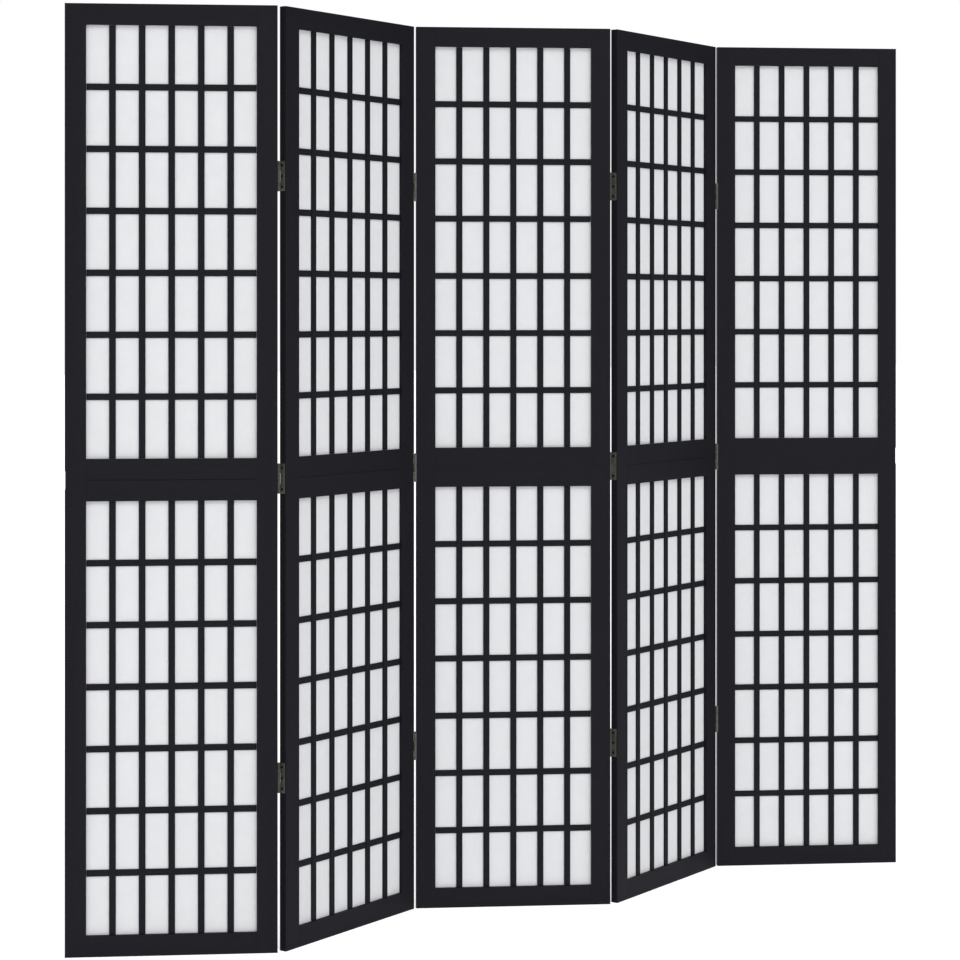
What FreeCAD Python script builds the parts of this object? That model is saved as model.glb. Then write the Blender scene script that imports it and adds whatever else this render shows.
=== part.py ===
import FreeCAD, Part
import math
import os

# Shoji folding screen: five light panels on pin hinges, standing in a zigzag.
# Each panel is two half frames, one on the other, with a lattice and a sheet of
# paper in each. All sizes are in millimetres.
#
# Frame of the model: origin on the floor under the middle panel's centre, +Z up,
# +X along the run of the screen and +Y towards its back.
#
# Panel frame, in which every panel is built: u across the panel from its left
# edge, v from its front face to its back face, z up from the floor.

# ---- the screen -------------------------------------------------------------
panel_count = 5
panel_w = 400.0
panel_h = 1800.0
rest_fold_deg = 49.0         # turn from one panel to the next as the screen stands

# ---- the half frames --------------------------------------------------------
frame_t = 15.0               # thickness of stiles and rails
stile_w = 39.5               # width of an upright frame member
rail_h = 40.0                # height of a level frame member
rebate_w = 8.0               # how far the step for the paper runs into the frame
tenon_t = 5.0                # stub tenon on each rail end: thickness
tenon_h = 20.0               # its height
tenon_len = 16.0             # how far it goes into the stile
tenon_fit = 0.1              # clearance round a tenon, and past its end

# ---- the lattice ------------------------------------------------------------
upright_count = 5
crossbar_count = 6
bar_w = 12.5                 # face width of every lattice bar
upright_t = 3.6              # depth of an upright, from its face to the paper
crossbar_t = 2.4             # depth of a crossbar, let into the uprights' backs
lattice_setback = 4.0        # from the frame's face back to the uprights' faces
bar_end_gap = 0.6            # hairline gap between a bar's end and the frame
lap_fit = 0.05               # clearance in each lap joint

# ---- the paper and the beads that hold it -----------------------------------
paper_t = 0.5
paper_fit = 0.5              # from the paper's edge to the edge of its step
bead_setback = 0.8           # from the frame's back face in to the bead
bead_fit = 0.1               # from the bead to the edge of the step
mitre_gap = 0.1              # from a bead's end back to the line of the mitre

# ---- the hinges -------------------------------------------------------------
hinge_len = 57.0
hinge_from_end = 328.0       # middle of an outer hinge from the nearer end of the panel
low_hinge_lift = (1.5, 4.5, 1.5, -4.5)   # fitted by hand: how much higher than that
top_hinge_lift = (4.5, 0.5, 4.5, 0.0)    # each fold's lowest and highest hinge sits
leaf_t = 1.2
leaf_w = 12.5                # how far a leaf reaches across the panel's edge
leaf_fit = 0.2               # clearance round a leaf in its recess
barrel_r = 3.0
barrel_sides = 12            # flats that stand for the round of a barrel
bore_sides = 6               # flats of the bore that the round pin turns in
pin_r = 1.3
pin_fit = 0.05               # running clearance of the pin in the knuckles
pin_out = 1.5                # pin axis to the panel's face, outside the wood
pin_tip = 0.8                # how far the pin shows past each end knuckle
knuckle_gap = 0.3            # between two knuckles
knuckle_clear = 0.3          # between a knuckle and the other leaf's plate

# ---- the plates that join the halves at the screen's two free edges ---------
end_plate_len = 34.0
end_plate_w = 12.0
end_plate_t = 1.2
end_plate_sunk = 0.7         # from the panel's edge in to the plate
end_plate_fit = 0.2

# ---- sizes that follow ------------------------------------------------------
half_h = panel_h / 2
opening_w = panel_w - 2 * stile_w
opening_h = half_h - 2 * rail_h
paper_v = lattice_setback + upright_t
middle_panel = (panel_count + 1) // 2
edge_clear = barrel_r - leaf_t          # a leaf's wood side is tangent to the barrel
knuckle_len = (hinge_len - 2 * knuckle_gap) / 3
overrun = 1.0                           # how far a cutting solid runs past a face

up = FreeCAD.Vector(0, 0, 1)


def box(u_span, v_span, z_span):
    """A block between the two ends of each span, given in either order."""
    (u0, u1), (v0, v1), (z0, z1) = sorted(u_span), sorted(v_span), sorted(z_span)
    return Part.makeBox(u1 - u0, v1 - v0, z1 - z0, FreeCAD.Vector(u0, v0, z0))


def about(middle, length):
    return (middle - length / 2, middle + length / 2)


def on_circle(r, degrees):
    return r * math.cos(math.radians(degrees)), r * math.sin(math.radians(degrees))


def prism(points, length):
    """A bar of the outline given, which starts at the height of its points."""
    return Part.Face(Part.makePolygon(points + points[:1])).extrude(up * length)


class Edge:
    """One edge of a panel, left or right, and the face its hinges fold towards."""

    def __init__(self, name, pin_side):
        self.name = name
        self.u = 0.0 if name == "left" else panel_w
        self.inward = 1 if name == "left" else -1
        self.v = 0.0 if pin_side == "front" else frame_t
        self.deep = 1 if pin_side == "front" else -1

    def axis(self):
        return self.u - self.inward * edge_clear, self.v - self.deep * pin_out

    def into(self, distance):
        return self.u + self.inward * distance

    def across(self, distance):
        return self.v + self.deep * distance


def fold_side(fold):
    """Folds 1 and 3 have their pins at the back, folds 2 and 4 at the front."""
    return "back" if fold % 2 else "front"


def hinge_heights(fold):
    """Middles of a fold's three hinges."""
    turn = (fold - 1) % len(low_hinge_lift)
    return (hinge_from_end + low_hinge_lift[turn],
            half_h,
            panel_h - hinge_from_end + top_hinge_lift[turn])


def panel_edges(number):
    """The hinged edges of a panel, as (edge, fold number)."""
    edges = []
    if number > 1:
        edges.append((Edge("left", fold_side(number - 1)), number - 1))
    if number < panel_count:
        edges.append((Edge("right", fold_side(number)), number))
    return edges


def free_edge(number):
    """The screen's own outer edge on the first and the last panel, or None."""
    if number == 1:
        return Edge("left", "front")
    if number == panel_count:
        return Edge("right", "front")
    return None


# ---- frame members ----------------------------------------------------------
def leaf_recess(edge, height):
    return box((edge.into(-overrun), edge.into(leaf_t)),
               (edge.across(-overrun), edge.across(leaf_w + leaf_fit)),
               about(height, hinge_len + 2 * leaf_fit))


def end_plate_recess(edge):
    return box((edge.into(-overrun), edge.into(end_plate_sunk + end_plate_t)),
               (-overrun, frame_t + overrun),
               about(half_h, end_plate_len + 2 * end_plate_fit))


def tenon(edge, height, fit):
    """The stub between a rail and a stile, or with a fit, the mortise for it."""
    shoulder = edge.into(stile_w)
    root = shoulder + edge.inward * (overrun if fit else 0.0)
    tip = shoulder - edge.inward * (tenon_len + fit)
    return box((root, tip),
               about(paper_v - tenon_t / 2, tenon_t + 2 * fit),
               about(height, tenon_h + 2 * fit))


def tenon_heights(base):
    """Middles of the two rails' tenons, in the part of each rail beyond the step."""
    solid_h = rail_h - rebate_w
    return (base + solid_h / 2, base + half_h - solid_h / 2)


def stile(name, base, recesses):
    edge = Edge(name, "front")
    member = box((edge.u, edge.into(stile_w)), (0, frame_t), (base, base + half_h))
    step = box((edge.into(stile_w - rebate_w), edge.into(stile_w + overrun)),
               (paper_v, frame_t + overrun),
               (base + rail_h - rebate_w, base + half_h - rail_h + rebate_w))
    mortises = [tenon(edge, height, tenon_fit) for height in tenon_heights(base)]
    return member.cut([step] + mortises + recesses)


def rail(base, is_top):
    inner = base + half_h - rail_h if is_top else base + rail_h
    outer = base + half_h if is_top else base
    towards_opening = -1 if is_top else 1
    member = box((stile_w, panel_w - stile_w), (0, frame_t), (outer, inner))
    step = box((stile_w - overrun, panel_w - stile_w + overrun),
               (paper_v, frame_t + overrun),
               (inner - towards_opening * rebate_w, inner + towards_opening * overrun))
    height = tenon_heights(base)[1 if is_top else 0]
    stubs = [tenon(Edge(name, "front"), height, 0.0) for name in ("left", "right")]
    return member.cut(step).fuse(stubs).removeSplitter()


# ---- lattice ----------------------------------------------------------------
def crossbar_heights(base):
    """Crossbars are centred on even divisions of the opening."""
    pitch = opening_h / (crossbar_count + 1)
    return [base + rail_h + pitch * (row + 1) for row in range(crossbar_count)]


def upright_places():
    """Left sides of the uprights, which leave equal clear widths between them."""
    clear = (opening_w - upright_count * bar_w) / (upright_count + 1)
    return [stile_w + clear + (clear + bar_w) * column for column in range(upright_count)]


def upright(place, base):
    """A lattice upright, halved from behind over each crossbar."""
    bar = box((place, place + bar_w),
              (lattice_setback, paper_v),
              (base + rail_h + bar_end_gap, base + half_h - rail_h - bar_end_gap))
    laps = [box((place - overrun, place + bar_w + overrun),
                (paper_v - crossbar_t - lap_fit, paper_v + overrun),
                about(height, bar_w + 2 * lap_fit)) for height in crossbar_heights(base)]
    return bar.cut(laps)


def crossbar(height):
    return box((stile_w + bar_end_gap, panel_w - stile_w - bar_end_gap),
               (paper_v - crossbar_t, paper_v),
               about(height, bar_w))


def lattice(base):
    uprights = [upright(place, base) for place in upright_places()]
    crossbars = [crossbar(height) for height in crossbar_heights(base)]
    return uprights + crossbars


# ---- paper and beads --------------------------------------------------------
def paper(base):
    reach = rebate_w - paper_fit
    return box((stile_w - reach, panel_w - stile_w + reach),
               (paper_v, paper_v + paper_t),
               (base + rail_h - reach, base + half_h - rail_h + reach))


def beads(base):
    """Four mitred strips that fill the step behind the paper."""
    left, right = stile_w, panel_w - stile_w
    low, high = base + rail_h, base + half_h - rail_h
    front = paper_v + paper_t
    depth = FreeCAD.Vector(0, frame_t - bead_setback - front, 0)

    def corners(out):
        places = [(left - out, low - out), (right + out, low - out),
                  (right + out, high + out), (left - out, high + out)]
        return [FreeCAD.Vector(u, front, z) for u, z in places]

    inner, outer = corners(0.0), corners(rebate_w - bead_fit)
    strips = []
    for this in range(4):
        following = (this + 1) % 4
        back_off = (outer[following] - outer[this]).normalize() * mitre_gap
        points = [outer[this] + back_off, outer[following] - back_off,
                  inner[following] - back_off, inner[this] + back_off]
        strips.append(Part.Face(Part.makePolygon(points + points[:1])).extrude(depth))
    return strips


# ---- hinges -----------------------------------------------------------------
def knuckle_spans(height, which):
    """Heights of the end knuckles or of the middle one."""
    low = height - hinge_len / 2
    pitch = knuckle_len + knuckle_gap
    rows = (0, 2) if which == "ends" else (1,)
    return [(low + pitch * row, low + pitch * row + knuckle_len) for row in rows]


def bore(edge, height):
    """A hole on the hinge's axis, whose flats lie just clear of the round pin."""
    axis_u, axis_v = edge.axis()
    corner_r = (pin_r + pin_fit) / math.cos(math.pi / bore_sides)
    foot = height - hinge_len / 2 - overrun
    rim = [on_circle(corner_r, 360 * corner / bore_sides) for corner in range(bore_sides)]
    points = [FreeCAD.Vector(axis_u + u, axis_v + v, foot) for u, v in rim]
    return prism(points, hinge_len + 2 * overrun)


def hinge_leaf(edge, height, which):
    """A flat leaf rolled into knuckles round the pin, in one profile.

    The wood side of the leaf runs tangent into the barrel, and the barrel comes
    back round to the leaf's open side. Where the other leaf has its knuckles,
    the plate is cut back clear of them.
    """
    axis_u, axis_v = edge.axis()
    base = height - hinge_len / 2

    def at(off_wood, out):
        return FreeCAD.Vector(axis_u - edge.inward * off_wood, axis_v - edge.deep * out, base)

    foot = -(pin_out + leaf_w)
    meet = -math.sqrt(barrel_r ** 2 - edge_clear ** 2)
    turn = 360 / barrel_sides
    sweep = 180 + math.degrees(math.atan2(-meet, -edge_clear))
    flats = round(sweep / turn)
    roll = [at(*on_circle(barrel_r, 180 - turn * corner)) for corner in range(flats)]
    plate = [at(-edge_clear, meet), at(-edge_clear, foot), at(-barrel_r, foot)]
    leaf = prism(roll + plate, hinge_len)

    plate_top = -math.sqrt((barrel_r + knuckle_clear) ** 2 - edge_clear ** 2)
    reach = barrel_r + overrun
    cuts = []
    for low, high in knuckle_spans(height, "middle" if which == "ends" else "ends"):
        z_span = (low - knuckle_gap, high + knuckle_gap)
        for wood_side, inner_end in ((-edge_clear, -reach), (-reach, plate_top)):
            near, far = at(wood_side, inner_end), at(reach, reach)
            cuts.append(box((near.x, far.x), (near.y, far.y), z_span))
    return leaf.cut(cuts + [bore(edge, height)])


def hinge_pin(edge, height):
    axis_u, axis_v = edge.axis()
    length = hinge_len + 2 * pin_tip
    return Part.makeCylinder(pin_r, length, FreeCAD.Vector(axis_u, axis_v, height - length / 2))


def end_plate(edge):
    middle = frame_t / 2
    return box((edge.into(end_plate_sunk), edge.into(end_plate_sunk + end_plate_t)),
               about(middle, end_plate_w),
               about(half_h, end_plate_len))


# ---- where each panel stands ------------------------------------------------
def yaw(number):
    """Odd panels turn towards the front and even ones towards the back."""
    return rest_fold_deg / 2 * (-1 if number % 2 else 1)


def turned(vector, degrees):
    return FreeCAD.Rotation(up, degrees).multVec(vector)


def beyond(corner, number, step):
    """The next panel's corner, found through the pin between the two."""
    side = fold_side(min(number, number + step))
    near, far = ("right", "left") if step > 0 else ("left", "right")
    near_u, near_v = Edge(near, side).axis()
    far_u, far_v = Edge(far, side).axis()
    pin = corner + turned(FreeCAD.Vector(near_u, near_v, 0), yaw(number))
    return pin - turned(FreeCAD.Vector(far_u, far_v, 0), yaw(number + step))


def panel_places():
    """Each panel's placement, worked outwards from the middle panel."""
    centre = FreeCAD.Vector(panel_w / 2, frame_t / 2, 0)
    corners = {middle_panel: -turned(centre, yaw(middle_panel))}
    for step in (1, -1):
        number = middle_panel
        while 1 <= number + step <= panel_count:
            corners[number + step] = beyond(corners[number], number, step)
            number += step
    return {number: FreeCAD.Placement(corner, FreeCAD.Rotation(up, yaw(number)))
            for number, corner in corners.items()}


def export(name, solids, placement):
    group = Part.makeCompound(solids)
    group.Placement = placement
    group.exportStep("parts/" + name + ".step")


def build_panel(number, placement):
    edges = panel_edges(number)
    outer = free_edge(number)
    name = "panel_%d_" % number
    recesses = {"left": [], "right": []}
    for edge, fold in edges:
        recesses[edge.name] += [leaf_recess(edge, height) for height in hinge_heights(fold)]
    if outer:
        recesses[outer.name].append(end_plate_recess(outer))

    for half, base in (("lower", 0.0), ("upper", half_h)):
        stiles = [stile(side, base, recesses[side]) for side in ("left", "right")]
        export(name + half + "_stiles", stiles, placement)
        export(name + half + "_rails", [rail(base, False), rail(base, True)], placement)
        export(name + half + "_lattice", lattice(base), placement)
        export(name + half + "_paper", [paper(base)], placement)
    export(name + "paper_beads", beads(0.0) + beads(half_h), placement)

    leaves = []
    for edge, fold in edges:
        carries_ends = number == (fold if fold >= middle_panel else fold + 1)
        which = "ends" if carries_ends else "middle"
        leaves += [hinge_leaf(edge, height, which) for height in hinge_heights(fold)]
        if carries_ends:
            pins = [hinge_pin(edge, height) for height in hinge_heights(fold)]
            export("fold_%d_hinge_pins" % fold, pins, placement)
    export(name + "hinge_leaves", leaves, placement)
    if outer:
        export(name + "end_plate", [end_plate(outer)], placement)


os.makedirs("parts", exist_ok=True)
for panel_number, panel_placement in sorted(panel_places().items()):
    build_panel(panel_number, panel_placement)
    corner_at = panel_placement.Base
    print("panel %d: corner at %.3f, %.3f, turned %.2f degrees"
          % (panel_number, corner_at.x, corner_at.y, yaw(panel_number)))
for fold_number in range(1, panel_count):
    pin_u, pin_v = Edge("right", fold_side(fold_number)).axis()
    pin_at = panel_places()[fold_number].multVec(FreeCAD.Vector(pin_u, pin_v, 0))
    print("fold %d: pin axis at %.4f, %.4f" % (fold_number, pin_at.x, pin_at.y))
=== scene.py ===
import math
import random

import bmesh
import bpy
from mathutils import Matrix, Vector


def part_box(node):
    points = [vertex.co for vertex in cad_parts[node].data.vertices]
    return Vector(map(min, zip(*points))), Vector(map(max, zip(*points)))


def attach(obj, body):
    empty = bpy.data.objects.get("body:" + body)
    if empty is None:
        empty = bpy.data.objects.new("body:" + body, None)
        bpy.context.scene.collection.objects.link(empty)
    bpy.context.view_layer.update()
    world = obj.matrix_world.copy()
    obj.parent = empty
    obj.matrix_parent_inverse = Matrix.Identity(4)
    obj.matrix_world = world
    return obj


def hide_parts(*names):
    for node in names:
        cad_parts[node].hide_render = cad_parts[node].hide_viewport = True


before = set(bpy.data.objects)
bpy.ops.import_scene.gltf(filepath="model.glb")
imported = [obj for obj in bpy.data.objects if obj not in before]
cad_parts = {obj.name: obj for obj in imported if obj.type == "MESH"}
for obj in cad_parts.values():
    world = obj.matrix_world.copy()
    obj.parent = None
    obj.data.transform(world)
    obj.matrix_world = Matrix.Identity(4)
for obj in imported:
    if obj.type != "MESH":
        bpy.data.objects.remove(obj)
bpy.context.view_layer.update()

# Shoji folding screen, in metres: +X along the run, +Y to the back, +Z up, origin on the floor.
# Inside a panel: x across from its left edge, y from its front face to its back, z up.
mm = 0.001

screen = {
    "panels": 5,
    "foldTurn": math.radians(49),   # from one panel to the next as the screen stands
    "panelWidth": 400 * mm,
    "panelHeight": 1800 * mm,
    "thickness": 15 * mm,
    "stileWidth": 39.5 * mm,
    "railHeight": 40 * mm,
}
halfHeight = screen["panelHeight"] / 2
openingWidth = screen["panelWidth"] - 2 * screen["stileWidth"]
openingHeight = halfHeight - 2 * screen["railHeight"]
halves = (("lower", 0.0), ("upper", halfHeight))


def panelTurn(number):
    return screen["foldTurn"] / 2 * (-1 if number % 2 else 1)


def panelPlace(number):
    # the panel's own frame, found from the corner of its stiles
    low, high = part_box(f"panel_{number}_lower_stiles")
    turn = panelTurn(number)
    if turn < 0:
        corner = Vector((low.x, high.y - screen["thickness"] * math.cos(turn), 0))
    else:
        corner = Vector((low.x + screen["thickness"] * math.sin(turn), low.y, 0))
    return Matrix.Translation(corner) @ Matrix.Rotation(turn, 4, "Z")


def setSockets(tree, node, values):
    for name, value in values.items():
        if isinstance(value, bpy.types.NodeSocket):
            tree.links.new(value, node.inputs[name])
        else:
            node.inputs[name].default_value = value


def addNode(tree, kind, inputs=None, **settings):
    made = tree.nodes.new("ShaderNode" + kind)
    for name, value in settings.items():
        setattr(made, name, value)
    setSockets(tree, made, inputs or {})
    return made


def addNoise(tree, place, settings):
    return addNode(tree, "TexNoise", {"Vector": place, **settings}).outputs[0]


def addMapping(tree, place, **settings):
    return addNode(tree, "Mapping", {"Vector": place, **settings}).outputs[0]


def addRamp(tree, amount, stops):
    # stops are (place, brightness), from left to right
    made = addNode(tree, "ValToRGB", {"Fac": amount})
    marks = made.color_ramp.elements
    while len(marks) < len(stops):
        marks.new(0.5)      # moved to its place below
    for mark, (place, bright) in zip(marks, stops):
        mark.position = place
        mark.color = (bright, bright, bright, 1)
    return made.outputs["Color"]


def addRange(tree, value, before, after):
    return addNode(tree, "MapRange", {
        "Value": value, "From Min": before[0], "From Max": before[1],
        "To Min": after[0], "To Max": after[1]}).outputs[0]


def mixColour(tree, amount, first, second, blend="MIX"):
    # a colour mix has its colours in sockets 6 and 7 and gives one from socket 2
    made = addNode(tree, "Mix", data_type="RGBA", blend_type=blend)
    colours = [value if isinstance(value, bpy.types.NodeSocket) else (*value, 1)
               for value in (first, second)]
    setSockets(tree, made, {0: amount, 6: colours[0], 7: colours[1]})
    return made.outputs[2]


def maths(tree, what, *values):
    return addNode(tree, "Math", dict(enumerate(values)), operation=what).outputs[0]


def startMaterial(name):
    made = bpy.data.materials.new(name)
    made.use_nodes = True
    tree = made.node_tree
    tree.nodes.clear()
    shader = addNode(tree, "BsdfPrincipled")
    addNode(tree, "OutputMaterial", {"Surface": shader.outputs[0]})
    return made, tree, shader


# black stained and lacquered wood
woodLook = {
    "pore": (0.0078, 0.0075, 0.0103),           # stain gathered in the pores
    "surface": (0.0097, 0.0093, 0.0127),
    "frameTint": (1, 1, 1),
    "barTint": (0.93, 1.03, 1.01),              # the lattice is a touch cooler than the frame
    "fibre": {"Scale": 1150, "Detail": 4, "Roughness": 0.6},
    "figure": {"Scale": 70, "Detail": 3, "Roughness": 0.55, "Distortion": 0.8},
    "cloud": {"Scale": 14, "Detail": 4},        # duller and shinier patches of lacquer
    "poreStops": ((0.34, 0.0), (0.46, 1.0)),
    "figureStops": ((0.30, 0.90), (0.70, 1.0)),
    "stretch": 0.030,                           # a fibre's width over its length
    "shift": (("X", 3.1), ("Y", 5.7), ("Z", 2.3)),      # so that no two strips have one grain
    "gloss": 0.06,
    "rough": (0.46, 0.58),
    "roughFrom": (0.25, 0.75),
    "cloudShare": 0.7,
    "bump": 0.5,
    "relief": 0.035 * mm,
    # painted shadow of the joint line between the half frames: how far it reaches and how dark it
    # gets
    "jointShadeReach": 0.9 * mm,                     # painted shade darkens the wood so far from the joint line of the half frames
    "jointShadeDark": 0.25,
}


def blackWood(name, turn, level, tint, paintJointShade=False):
    made, tree, shader = startMaterial(name)
    place = addNode(tree, "TexCoord").outputs["Object"]
    strip = addNode(tree, "NewGeometry").outputs["Random Per Island"]
    turned = addMapping(tree, place, Rotation=(0, 0, -turn))
    shift = addNode(tree, "CombineXYZ", {
        axis: maths(tree, "MULTIPLY", strip, far) for axis, far in woodLook["shift"]})
    moved = addNode(tree, "VectorMath", {0: turned, 1: shift.outputs[0]}, operation="ADD")
    moved = moved.outputs[0]
    long = woodLook["stretch"]
    grainway = addMapping(tree, moved, Scale=(long, 1, 1) if level else (1, 1, long))

    fibres = addNoise(tree, grainway, woodLook["fibre"])
    bands = addNoise(tree, grainway, woodLook["figure"])
    pores = addRamp(tree, fibres, woodLook["poreStops"])
    figure = addRamp(tree, bands, woodLook["figureStops"])
    stain = mixColour(tree, pores, woodLook["pore"], woodLook["surface"])
    stain = mixColour(tree, 1.0, stain, figure, "MULTIPLY")
    colour = mixColour(tree, 1.0, stain, tint, "MULTIPLY")
    if paintJointShade:       # painted shade along the line where the upper half frame stands on the lower one
        height = addNode(tree, "SeparateXYZ", {0: place}).outputs["Z"]
        away = maths(tree, "ABSOLUTE", maths(tree, "SUBTRACT", height, halfHeight))
        reach = woodLook["jointShadeReach"]
        dark = addRange(tree, away, (reach / 2, reach), (woodLook["jointShadeDark"], 1.0))
        colour = mixColour(tree, 1.0, colour, dark, "MULTIPLY")

    share = woodLook["cloudShare"]
    clouds = addNoise(tree, moved, woodLook["cloud"])
    dull = maths(tree, "ADD", maths(tree, "MULTIPLY", clouds, share),
                 maths(tree, "MULTIPLY", fibres, 1 - share))
    low, high = woodLook["rough"]
    rough = addRange(tree, dull, woodLook["roughFrom"], (high, low))
    bump = addNode(tree, "Bump", {
        "Height": pores, "Strength": woodLook["bump"], "Distance": woodLook["relief"]})
    setSockets(tree, shader, {
        "Base Color": colour, "Roughness": rough, "Normal": bump.outputs[0],
        "Specular IOR Level": woodLook["gloss"]})
    return made


paperLook = {
    "sheet": (0.738, 0.744, 0.758),
    "thin": (0.724, 0.730, 0.745),          # where the pulp lies thinner
    "strand": (0.81, 0.812, 0.815),         # long fibres in the sheet
    "pulp": {"Scale": 38, "Detail": 6, "Roughness": 0.62},
    "pulpStops": ((0.36, 0.0), (0.62, 1.0)),
    # four ways that the long fibres lie: how they lean, and how far the pattern is moved on
    "lays": ((0.35, 0.0), (1.15, 1.7), (2.2, 4.1), (2.85, 7.3)),
    "drawn": (9, 60, 150),
    "wave": {"Scale": 4.5, "Detail": 2, "Distortion": 0.5},
    "strandStops": ((0.485, 0.0), (0.500, 1.0), (0.515, 0.0)),
    "strandShow": 0.35,
    "strandRise": 0.6,
    "tooth": {"Scale": 1300, "Detail": 3},
    "roughStops": ((0.3, 0.86), (0.7, 0.74)),
    "gloss": 0.25,
    "bump": 0.35,
    "relief": 0.05 * mm,
    "through": 0.30,                        # share of the light that goes on through one face
}


def washi(name):
    made, tree, shader = startMaterial(name)
    place = addNode(tree, "TexCoord").outputs["Object"]
    pulp = addNoise(tree, place, paperLook["pulp"])
    colour = mixColour(tree, addRamp(tree, pulp, paperLook["pulpStops"]),
                       paperLook["thin"], paperLook["sheet"])
    strands = None
    for lean, far in paperLook["lays"]:
        laid = addMapping(tree, place, Rotation=(0, lean, 0), Location=(far, 0, far))
        wavy = addNoise(tree, addMapping(tree, laid, Scale=paperLook["drawn"]), paperLook["wave"])
        line = addRamp(tree, wavy, paperLook["strandStops"])
        strands = line if strands is None else mixColour(tree, 1.0, strands, line, "LIGHTEN")
    faint = maths(tree, "MULTIPLY", strands, paperLook["strandShow"])
    colour = mixColour(tree, faint, colour, paperLook["strand"])

    tooth = addNoise(tree, place, paperLook["tooth"])
    height = maths(tree, "ADD", maths(tree, "MULTIPLY", strands, paperLook["strandRise"]), tooth)
    bump = addNode(tree, "Bump", {
        "Height": height, "Strength": paperLook["bump"], "Distance": paperLook["relief"]})
    rough = addRamp(tree, pulp, paperLook["roughStops"])
    setSockets(tree, shader, {
        "Base Color": colour, "Roughness": rough, "Normal": bump.outputs[0],
        "Specular IOR Level": paperLook["gloss"]})
    glow = addNode(tree, "BsdfTranslucent", {"Color": colour, "Normal": bump.outputs[0]})
    both = addNode(tree, "MixShader", {
        0: paperLook["through"], 1: shader.outputs[0], 2: glow.outputs[0]})
    output = next(node for node in tree.nodes if node.type == "OUTPUT_MATERIAL")
    setSockets(tree, output, {"Surface": both.outputs[0]})
    return made


metalLook = {
    "bronze": {
        "dark": (0.038, 0.038, 0.030), "base": (0.100, 0.097, 0.082),
        "rubbed": (0.18, 0.176, 0.160), "metal": 0.40, "gloss": 0.35, "rough": (0.70, 0.50),
        "speckle": 420, "drawn": (1, 1, 1)},
    "steel": {
        "dark": (0.16, 0.16, 0.15), "base": (0.30, 0.295, 0.28),
        "rubbed": (0.55, 0.54, 0.52), "metal": 1.0, "gloss": 0.5, "rough": (0.42, 0.28),
        "speckle": 900, "drawn": (1, 1, 14)},
    # screw heads made near black as painted shade of their countersinks
    "screw": {
        "dark": (0.0012, 0.0012, 0.0008), "base": (0.004, 0.004, 0.0026),
        "rubbed": (0.02, 0.019, 0.014), "metal": 0.0, "gloss": 0.06, "rough": (0.66, 0.52),
        "speckle": 700, "drawn": (1, 1, 1)},
}
metalAge = {
    "stains": {"Scale": 120, "Detail": 4, "Distortion": 0.6},
    "stainStops": ((0.32, 0.25), (0.64, 1.0)),
    "speckle": {"Detail": 6, "Roughness": 0.65},
    "speckleStops": ((0.30, 0.35), (0.58, 1.0)),
    "edgeStops": ((0.53, 0.0), (0.64, 0.8)),        # sharper edges are rubbed more
    "rubStops": ((0.35, 0.3), (0.60, 1.0)),
    "bump": 0.25,
    "relief": 0.04 * mm,
}


def agedMetal(name, look):
    made, tree, shader = startMaterial(name)
    place = addNode(tree, "TexCoord").outputs["Object"]
    drawn = addMapping(tree, place, Scale=look["drawn"])
    speckle = addNoise(tree, drawn, {"Scale": look["speckle"], **metalAge["speckle"]})
    stains = addNoise(tree, place, metalAge["stains"])
    patina = maths(tree, "MULTIPLY", addRamp(tree, stains, metalAge["stainStops"]),
                   addRamp(tree, speckle, metalAge["speckleStops"]))
    colour = mixColour(tree, patina, look["dark"], look["base"])
    edge = addNode(tree, "NewGeometry").outputs["Pointiness"]
    rubbed = maths(tree, "MULTIPLY", addRamp(tree, edge, metalAge["edgeStops"]),
                   addRamp(tree, speckle, metalAge["rubStops"]))
    colour = mixColour(tree, rubbed, colour, look["rubbed"])
    high, low = look["rough"]
    rough = addRamp(tree, patina, ((0.0, high), (1.0, low)))
    bump = addNode(tree, "Bump", {
        "Height": speckle, "Strength": metalAge["bump"], "Distance": metalAge["relief"]})
    setSockets(tree, shader, {
        "Base Color": colour, "Roughness": rough, "Normal": bump.outputs[0],
        "Metallic": look["metal"], "Specular IOR Level": look["gloss"]})
    return made


bronze = agedMetal("aged bronze", metalLook["bronze"])
steel = agedMetal("drawn steel", metalLook["steel"])
# the screws' near-black colour is painted shade of the countersinks
screwShadeMetal = agedMetal("near-black screw with painted shade", metalLook["screw"])
paperMaterial = washi("washi")
print("metal and paper finishes made")


easing = {
    "segments": 2,
    "overTurn": math.radians(30),       # least turn between two faces that gets a round
    "weld": 0.01 * mm,
    "evenness": 80,
}


def easeEdges(piece, width, segments=easing["segments"], overTurn=easing["overTurn"]):
    # joins the corners of the faces, rounds every arris and shades the flats flat
    join = piece.modifiers.new("join corners", "WELD")
    join.merge_threshold = easing["weld"]
    ease = piece.modifiers.new("eased arrises", "BEVEL")
    ease.width = width
    ease.segments = segments
    ease.limit_method = "ANGLE"
    ease.angle_limit = overTurn
    shade = piece.modifiers.new("even shading", "WEIGHTED_NORMAL")
    shade.weight = easing["evenness"]
    piece.data.shade_smooth()


def dress(name, materials, width, segments=easing["segments"]):
    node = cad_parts[name]
    node.data.materials.clear()
    for material in materials:
        node.data.materials.append(material)
    easeEdges(node, width, segments)
    return node


def newPiece(name, mesh, place, body, material):
    made = bpy.data.objects.new(name, mesh)
    bpy.context.scene.collection.objects.link(made)
    mesh.materials.append(material)
    made.matrix_world = place
    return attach(made, body)


def meshOf(name, builder):
    # a mesh from what builder does to a new bmesh
    work = bmesh.new()
    builder(work)
    mesh = bpy.data.meshes.new(name)
    bmesh.ops.recalc_face_normals(work, faces=work.faces)
    work.to_mesh(mesh)
    work.free()
    return mesh


def addBlock(work, low, high):
    size = [b - a for a, b in zip(low, high)]
    middle = [(a + b) / 2 for a, b in zip(low, high)]
    place = Matrix.Translation(middle) @ Matrix.Diagonal((*size, 1))
    bmesh.ops.create_cube(work, size=1, matrix=place)


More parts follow.
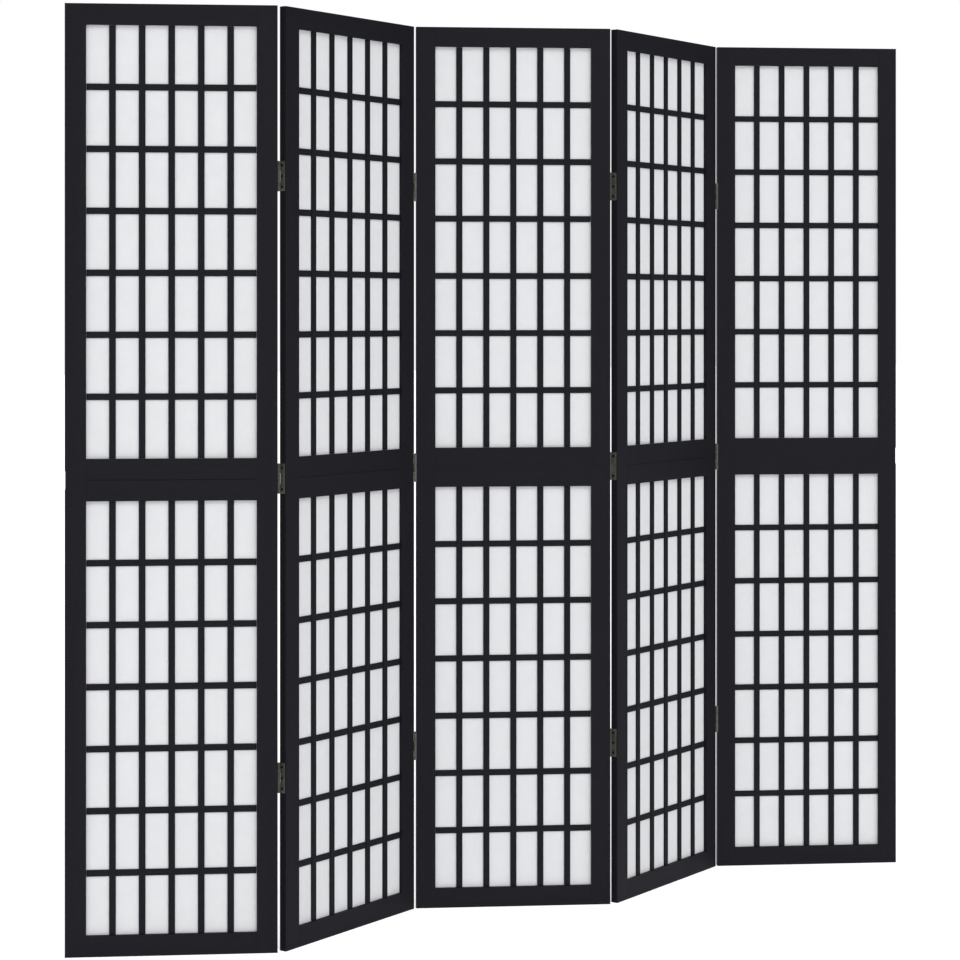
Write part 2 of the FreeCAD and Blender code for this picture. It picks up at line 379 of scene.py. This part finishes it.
def addRound(work, middle, axis, radiusLow, radiusHigh, length, sides=32):
    turn = Vector((0, 0, 1)).rotation_difference(Vector(axis)).to_matrix().to_4x4()
    bmesh.ops.create_cone(
        work, cap_ends=True, segments=sides, radius1=radiusLow, radius2=radiusHigh,
        depth=length, matrix=Matrix.Translation(middle) @ turn)


def addOutline(work, points, low, high):
    # a bar with this outline, standing from low to high
    rings = [[work.verts.new((x, y, z)) for x, y in points] for z in (low, high)]
    for ring in rings:
        work.faces.new(ring)
    for this in range(len(points)):
        following = (this + 1) % len(points)
        work.faces.new((rings[0][this], rings[0][following],
                        rings[1][following], rings[1][this]))


def carved(name, block, cutters):
    # the block's mesh with the cutters taken out of it
    made = bpy.data.objects.new(name, meshOf(name, block))
    tool = bpy.data.objects.new(name + " tool", meshOf(name + " tool", cutters))
    for piece in (made, tool):
        bpy.context.scene.collection.objects.link(piece)
    cut = made.modifiers.new("cut", "BOOLEAN")
    cut.object = tool
    cut.solver = "EXACT"
    cut.use_self = True
    bpy.context.view_layer.update()
    shown = made.evaluated_get(bpy.context.evaluated_depsgraph_get())
    mesh = bpy.data.meshes.new_from_object(shown)
    mesh.name = name
    for piece in (made, tool):
        bpy.data.objects.remove(piece)
    return mesh


def gathered(name, parts):
    # one mesh from (mesh, matrix) copies, with mirrored ones turned right side out
    whole = bmesh.new()
    for mesh, place in parts:
        one = bmesh.new()
        one.from_mesh(mesh)
        one.transform(place)
        if place.determinant() < 0:
            bmesh.ops.reverse_faces(one, faces=one.faces)
        copy = bpy.data.meshes.new("copy")
        one.to_mesh(copy)
        whole.from_mesh(copy)
        one.free()
        bpy.data.meshes.remove(copy)
    made = bpy.data.meshes.new(name)
    whole.to_mesh(made)
    whole.free()
    return made


timber = {
    "frameEase": 0.3 * mm,
    "barEase": 0.25 * mm,
    "crossbars": 6,
    "barWidth": 12.5 * mm,
    "rebate": 8 * mm,
    "bandSlack": 0.02 * mm,
    "shadeLinePanels": (1, 2, 4),      # panels whose two halves get a painted shade line where they meet
}


def crossbarBands():
    pitch = openingHeight / (timber["crossbars"] + 1)
    half = timber["barWidth"] / 2 + timber["bandSlack"]
    middles = [base + screen["railHeight"] + pitch * (row + 1)
               for _, base in halves for row in range(timber["crossbars"])]
    return [(middle - half, middle + half) for middle in middles]


def beadBands():
    bands = []
    for _, base in halves:
        low, high = base + screen["railHeight"], base + halfHeight - screen["railHeight"]
        slack = timber["bandSlack"]
        bands.append((low - timber["rebate"], low + slack))
        bands.append((high - slack, high + timber["rebate"]))
    return bands


def layGrain(node, bands):
    # faces that lie in one of the bands belong to level strips, whose grain runs across
    mesh = node.data
    for face in mesh.polygons:
        heights = [mesh.vertices[corner].co.z for corner in face.vertices]
        level = any(low <= min(heights) and max(heights) <= high for low, high in bands)
        face.material_index = 1 if level else 0


# odd panels all stand at one turn and even ones at the other, so that two sets of finishes do
finishes = {}
for number, stands in ((1, "odd"), (2, "even")):
    turn = panelTurn(number)
    for part, tint in (("frame", woodLook["frameTint"]), ("lattice", woodLook["barTint"])):
        finishes[stands, part] = [
            blackWood(f"black {part} {way} {stands}", turn, way == "level", tint)
            for way in ("upright", "level")]
    # rails that carry the painted shade of the joint line
    finishes[stands, "joint"] = blackWood(
        f"black rail with painted joint shade {stands}", turn, True, woodLook["frameTint"], paintJointShade=True)

for number in range(1, screen["panels"] + 1):
    stands = "odd" if number % 2 else "even"
    upright, level = finishes[stands, "frame"]
    rail = finishes[stands, "joint"] if number in timber["shadeLinePanels"] else level
    for half, _ in halves:
        name = f"panel_{number}_{half}_"
        dress(name + "stiles", [upright], timber["frameEase"])
        dress(name + "rails", [rail], timber["frameEase"])
        bars = dress(name + "lattice", finishes[stands, "lattice"], timber["barEase"])
        layGrain(bars, crossbarBands())
    strips = dress(f"panel_{number}_paper_beads", [upright, level], timber["barEase"])
    layGrain(strips, beadBands())
print("frames, lattice and beads finished")


sheetCut = {
    "tuck": 7.5 * mm,          # how far the sheet runs into the step of the frame
    "thick": 0.28 * mm,
    "front": 7.62 * mm,        # from the panel's face back to the paper
    "slack": 0.16 * mm,        # most that it stands proud or hollow between the bars
    "columns": 6,
    "rows": 7,
    "perPane": 6,              # steps of the mesh across a pane, and up it
    "seed": 41,
}


def paperSheet(number, half, base):
    dice = random.Random(sheetCut["seed"] + 10 * number + (half == "upper"))
    tuck, perPane = sheetCut["tuck"], sheetCut["perPane"]
    columns, rows = sheetCut["columns"], sheetCut["rows"]
    swell = {(column, row): dice.uniform(-1, 1) * sheetCut["slack"]
             for column in range(columns) for row in range(rows)}
    left, foot = screen["stileWidth"], base + screen["railHeight"]
    across, up = columns * perPane, rows * perPane
    wide = [left - tuck]
    wide += [left + openingWidth * step / across for step in range(across + 1)]
    wide.append(screen["panelWidth"] - left + tuck)
    tall = [foot - tuck]
    tall += [foot + openingHeight * step / up for step in range(up + 1)]
    tall.append(base + halfHeight - screen["railHeight"] + tuck)
    lastColumn, lastRow = len(wide) - 1, len(tall) - 1

    def depth(column, row):
        # flat in the step and along the bars, with a soft swell in each pane
        if column in (0, lastColumn) or row in (0, lastRow):
            return sheetCut["front"]
        inX, inZ = (column - 1) / perPane, (row - 1) / perPane
        pane = (min(int(inX), columns - 1), min(int(inZ), rows - 1))
        share = math.sin(math.pi * (inX - pane[0])) * math.sin(math.pi * (inZ - pane[1]))
        return sheetCut["front"] + swell[pane] * share

    def build(work):
        front, back = [
            {(column, row): work.verts.new((x, depth(column, row) + behind, z))
             for column, x in enumerate(wide) for row, z in enumerate(tall)}
            for behind in (0.0, sheetCut["thick"])]
        for grid in (front, back):
            for column in range(lastColumn):
                for row in range(lastRow):
                    work.faces.new((grid[column, row], grid[column + 1, row],
                                    grid[column + 1, row + 1], grid[column, row + 1]))
        rim = [(column, 0) for column in range(lastColumn + 1)]
        rim += [(lastColumn, row) for row in range(1, lastRow + 1)]
        rim += [(column, lastRow) for column in range(lastColumn - 1, -1, -1)]
        rim += [(0, row) for row in range(lastRow - 1, 0, -1)]
        for this, following in zip(rim, rim[1:] + rim[:1]):
            work.faces.new((front[this], front[following], back[following], back[this]))

    name, body = f"panel_{number}_{half}_washi", f"panel_{number}"
    made = newPiece(name, meshOf(name, build), panelPlace(number), body, paperMaterial)
    made.data.shade_smooth()
    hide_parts(f"panel_{number}_{half}_paper")


for number in range(1, screen["panels"] + 1):
    for half, base in halves:
        paperSheet(number, half, base)
print("paper stretched in", 2 * screen["panels"], "half frames")


# A leaf is made round its pin: x away from the wood, y out of the panel's face, z up.
hinge = {
    "length": 57 * mm,
    "leafThick": 1.2 * mm,
    "leafWidth": 12.5 * mm,
    "barrelRadius": 3.0 * mm,
    "boreRadius": 1.36 * mm,
    "pinOut": 1.5 * mm,             # pin's axis to the panel's face
    "pinTip": 0.8 * mm,             # pin beyond the end knuckles
    "pinEase": 0.4 * mm,
    "pinEaseSegments": 3,
    "knuckleGap": 0.3 * mm,
    "knuckleClear": 0.3 * mm,
    "roundSides": 44,
    "ease": 0.16 * mm,
    "easeOverTurn": math.radians(35),
    "screwRow": 20.5 * mm,          # from the hinge's middle to the screws near its ends
    "screwIn": 4.9 * mm,            # from the panel's face to the row of screws
    "sinkRadius": 3.0 * mm,
    "sinkFoot": 1.75 * mm,
    "sinkOver": 0.2 * mm,           # the cone that cuts a hole runs past both faces
    "cutOver": 1.0 * mm,            # other cutters run past the leaf
}
edgeClear = hinge["barrelRadius"] - hinge["leafThick"]
screwAcross = -(hinge["pinOut"] + hinge["screwIn"])


def hingeHeights(fold):
    # middles of the fold's three hinges, from the reach of their pins
    low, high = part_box(f"fold_{fold}_hinge_pins")
    reach = hinge["length"] / 2 + hinge["pinTip"]
    return low.z + reach, halfHeight, high.z - reach


def knuckleSpans(which):
    start, gap = -hinge["length"] / 2, hinge["knuckleGap"]
    pitch = (hinge["length"] + gap) / 3
    rows = (0, 2) if which == "ends" else (1,)
    return [(start + pitch * row, start + pitch * (row + 1) - gap) for row in rows]


def leafOutline():
    r = hinge["barrelRadius"]
    meet = -math.sqrt(r ** 2 - edgeClear ** 2)
    sweep = math.pi + math.atan2(-meet, -edgeClear)
    steps = round(sweep / (2 * math.pi) * hinge["roundSides"])
    angles = [math.pi - sweep * step / steps for step in range(steps + 1)]
    foot = -(hinge["pinOut"] + hinge["leafWidth"])
    return [(r * math.cos(angle), r * math.sin(angle)) for angle in angles] + [
        (-edgeClear, foot), (-r, foot)]


def screwHeights(isOuter):
    # the middle hinge lies across the joint of the half frames and has no screw there
    row = hinge["screwRow"]
    return (-row, 0.0, row) if isOuter else (-row, row)


def addCountersink(work, middle, thick):
    over = hinge["sinkOver"]
    slope = (hinge["sinkRadius"] - hinge["sinkFoot"]) / thick
    addRound(work, middle, (1, 0, 0), hinge["sinkFoot"] - slope * over,
             hinge["sinkRadius"] + slope * over, thick + 2 * over)


def leafMesh(which, isOuter):
    half, r = hinge["length"] / 2, hinge["barrelRadius"]
    gap, over = hinge["knuckleGap"], hinge["cutOver"]
    reach = r + over
    plateTop = -math.sqrt((r + hinge["knuckleClear"]) ** 2 - edgeClear ** 2)

    def block(work):
        addOutline(work, leafOutline(), -half, half)

    def cutters(work):
        for low, high in knuckleSpans("middle" if which == "ends" else "ends"):
            low, high = low - gap, high + gap
            addBlock(work, (-edgeClear, -reach, low), (reach, reach, high))
            addBlock(work, (-reach, plateTop, low), (reach, reach + over / 2, high))
        addRound(work, (0, 0, 0), (0, 0, 1), hinge["boreRadius"], hinge["boreRadius"],
                 hinge["length"] + 2 * over, hinge["roundSides"])
        for height in screwHeights(isOuter):
            middle = (-edgeClear - hinge["leafThick"] / 2, screwAcross, height)
            addCountersink(work, middle, hinge["leafThick"])

    return carved(f"{which} leaf", block, cutters)


screw = {
    "radius": 2.85 * mm,
    "neck": 1.6 * mm,
    "height": 1.0 * mm,
    "under": 0.15 * mm,             # head below the leaf's face
    "ease": 0.06 * mm,
    "crossLong": 3.3 * mm,
    "crossWide": 0.75 * mm,
    "crossDeep": 0.7 * mm,
    "crossOver": (1.0 * mm, 1.1 * mm),      # how far the cross's two cutters stand out
    "seed": 7,
}


def screwMesh():
    # the head's face looks along +x and lies at x = 0
    def head(work):
        addRound(work, (-screw["height"] / 2, 0, 0), (1, 0, 0),
                 screw["neck"], screw["radius"], screw["height"])

    def cross(work):
        deep, long, wide = screw["crossDeep"], screw["crossLong"] / 2, screw["crossWide"] / 2
        first, second = screw["crossOver"]
        addBlock(work, (-deep, -long, -wide), (first, long, wide))
        addBlock(work, (-deep, -wide, -long), (second, wide, long))

    return carved("screw", head, cross)


def hingeFrame(side, pinSide, height):
    # from the leaf's own frame to the panel's, at one height
    inward = 1 if side == "left" else -1
    deep = 1 if pinSide == "front" else -1
    x = 0.0 if side == "left" else screen["panelWidth"]
    y = 0.0 if pinSide == "front" else screen["thickness"]
    axis = Vector((x - inward * edgeClear, y - deep * hinge["pinOut"], height))
    return Matrix.Translation(axis) @ Matrix.Diagonal((-inward, -deep, 1, 1))


def foldPinSide(fold):
    return "back" if fold % 2 else "front"


def hingedEdges(number):
    # at each fold the panel nearer the middle of the screen has the two end knuckles
    middle = (screen["panels"] + 1) // 2
    edges = []
    for fold, side in ((number - 1, "left"), (number, "right")):
        if 1 <= fold < screen["panels"]:
            nearer = fold if fold >= middle else fold + 1
            edges.append((side, fold, "ends" if number == nearer else "middle"))
    return edges


leafKinds = {(which, isOuter): leafMesh(which, isOuter)
             for which in ("ends", "middle") for isOuter in (True, False)}
oneScrew = screwMesh()
screwDice = random.Random(screw["seed"])


def screwPlace(frameOf, x, y, z):
    # each screw was driven to its own angle
    spin = Matrix.Rotation(screwDice.uniform(0, math.pi / 2), 4, "X")
    return frameOf @ Matrix.Translation((x, y, z)) @ spin


def metalPiece(number, ending, parts, material, ease):
    name, body = f"panel_{number}_{ending}", f"panel_{number}"
    piece = newPiece(name, gathered(name, parts), panelPlace(number), body, material)
    easeEdges(piece, ease, overTurn=hinge["easeOverTurn"])
    return piece


for number in range(1, screen["panels"] + 1):
    leaves, screws = [], []
    for side, fold, which in hingedEdges(number):
        for height in hingeHeights(fold):
            isOuter = height != halfHeight
            place = hingeFrame(side, foldPinSide(fold), height)
            leaves.append((leafKinds[which, isOuter], place))
            screws += [(oneScrew, screwPlace(place, -edgeClear - screw["under"], screwAcross, z))
                       for z in screwHeights(isOuter)]
    piece = metalPiece(number, "butt_leaves", leaves, bronze, hinge["ease"])
    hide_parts(f"panel_{number}_hinge_leaves")
    metalPiece(number, "screws", screws, screwShadeMetal, screw["ease"])

for fold in range(1, screen["panels"]):
    dress(f"fold_{fold}_hinge_pins", [steel], hinge["pinEase"],
          hinge["pinEaseSegments"])
print("hinges made, with", len(leafKinds), "kinds of leaf")


# the plates that join the half frames at the screen's two free edges
endPlate = {
    "length": 34 * mm,
    "width": 12 * mm,
    "thick": 1.2 * mm,
    "sunk": 0.7 * mm,
    "corner": 2.5 * mm,
    "cornerSteps": 5,
    "screwAt": 11.5 * mm,
}


def endPlateMesh():
    # lies round the origin, its face towards +x at x = 0
    thick, r, steps = endPlate["thick"], endPlate["corner"], endPlate["cornerSteps"]

    def block(work):
        outline = []
        inLong, inWide = endPlate["length"] / 2 - r, endPlate["width"] / 2 - r
        for quarter, (y, z) in enumerate(((1, 1), (-1, 1), (-1, -1), (1, -1))):
            for step in range(steps + 1):
                angle = math.pi / 2 * (quarter + step / steps)
                outline.append((y * inWide + r * math.cos(angle),
                                z * inLong + r * math.sin(angle)))
        addOutline(work, outline, -thick, 0)
        work.transform(Matrix(((0, 0, 1, 0), (1, 0, 0, 0), (0, 1, 0, 0), (0, 0, 0, 1))))

    def holes(work):
        for z in (-endPlate["screwAt"], endPlate["screwAt"]):
            addCountersink(work, (-thick / 2, 0, z), thick)

    return carved("end plate", block, holes)


for number, side in ((1, "left"), (screen["panels"], "right")):
    outward = -1 if side == "left" else 1
    x = endPlate["sunk"] if side == "left" else screen["panelWidth"] - endPlate["sunk"]
    place = Matrix.Translation((x, screen["thickness"] / 2, halfHeight))
    place = place @ Matrix.Diagonal((outward, 1, 1, 1))
    plates = [(endPlateMesh(), place)]
    piece = metalPiece(number, "joining_plate", plates, bronze, hinge["ease"])
    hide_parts(f"panel_{number}_end_plate")
    screws = [(oneScrew, screwPlace(place, -screw["under"], 0, z))
              for z in (-endPlate["screwAt"], endPlate["screwAt"])]
    metalPiece(number, "plate_screws", screws, screwShadeMetal, screw["ease"])
print("joining plates made")


studio = {
    "floorColour": (0.95, 0.95, 0.955),
    "floorDim": 0.985,          # the darker patches of the floor beside the paler ones
    "floorMottle": {"Scale": 2.5, "Detail": 5},
    "floorRough": ((0.3, 0.82), (0.7, 0.72)),
    "floorGloss": 0.2,
    "floorSize": 80,
    "floorLift": 0.48,          # the floor gives off some light, so that it stays white
    "roomLight": 0.355,         # light from the white room all round
    "roomSeen": 1.0,            # how bright the room itself looks
    # share of that light by where it comes from, from the far left (0) to the far right (1)
    "roomShares": ((0.04, 0.25), (0.30, 1.0), (0.72, 1.0), (0.92, 0.35)),
    # soft lights: strength, how wide they are, where they stand
    "lights": {
        "skylight": (0.64, math.radians(80), (0, 0, 6)),
        "front wall": (1.38, math.radians(96), (-1.0, -5.0, 1.7)),
        "front window": (1.02, math.radians(24), (-0.9, -5.0, 4.4)),
        "back wall": (0.80, math.radians(100), (1.2, 5.0, 1.9)),
    },
}


def floorMaterial():
    made, tree, shader = startMaterial("pale floor")
    place = addNode(tree, "TexCoord").outputs["Object"]
    mottle = addNoise(tree, place, studio["floorMottle"])
    dim = tuple(studio["floorDim"] * part for part in studio["floorColour"])
    colour = mixColour(tree, mottle, dim, studio["floorColour"])
    rough = addRamp(tree, mottle, studio["floorRough"])
    setSockets(tree, shader, {
        "Base Color": colour, "Roughness": rough, "Emission Color": colour,
        "Emission Strength": studio["floorLift"], "Specular IOR Level": studio["floorGloss"]})
    return made


def buildFloor():
    def square(work):
        reach = studio["floorSize"] / 2
        work.faces.new([work.verts.new((reach * x, reach * y, 0))
                        for x, y in ((-1, -1), (1, -1), (1, 1), (-1, 1))])

    floor = bpy.data.objects.new("floor", meshOf("floor", square))
    bpy.context.scene.collection.objects.link(floor)
    floor.data.materials.append(floorMaterial())


def buildRoom():
    world = bpy.data.worlds.new("white room")
    bpy.context.scene.world = world
    world.use_nodes = True
    tree = world.node_tree
    tree.nodes.clear()
    around = addNode(tree, "TexCoord").outputs["Generated"]
    sideways = addNode(tree, "SeparateXYZ", {0: around}).outputs["X"]
    fromLeft = maths(tree, "MULTIPLY_ADD", sideways, 0.5, 0.5)      # from -1..1 to 0..1
    share = addRamp(tree, fromLeft, studio["roomShares"])
    lit = maths(tree, "MULTIPLY", share, studio["roomLight"])
    seen = addNode(tree, "LightPath").outputs["Is Camera Ray"]
    strength = addRange(tree, seen, (0, 1), (lit, studio["roomSeen"]))
    room = addNode(tree, "Background", {"Color": (1, 1, 1, 1), "Strength": strength})
    addNode(tree, "OutputWorld", {"Surface": room.outputs[0]})


def setLights():
    for name, (power, angle, place) in studio["lights"].items():
        lamp = bpy.data.lights.new(name, "SUN")
        lamp.energy = power
        lamp.angle = angle
        holder = bpy.data.objects.new(name, lamp)
        bpy.context.scene.collection.objects.link(holder)
        holder.location = place
        holder.rotation_euler = (-Vector(place)).to_track_quat("-Z", "Y").to_euler()


view = {
    "place": (-2.4373, -4.1716, 1.2156),
    "heading": math.radians(-29.487),
    "lens": 88.29,
    "sensor": 36,
    "horizon": 312.97,          # row of the picture that is level with the camera
    "picture": 960,
}


def setCamera():
    camera = bpy.data.cameras.new("camera")
    camera.lens = view["lens"]
    camera.sensor_width = view["sensor"]
    camera.shift_y = (view["horizon"] - view["picture"] / 2) / view["picture"]
    holder = bpy.data.objects.new("camera", camera)
    bpy.context.scene.collection.objects.link(holder)
    holder.location = view["place"]
    holder.rotation_euler = (math.pi / 2, 0, view["heading"])
    bpy.context.scene.camera = holder


buildFloor()
buildRoom()
setLights()
setCamera()
bpy.context.scene.view_settings.view_transform = "Standard"
print("studio and camera set")
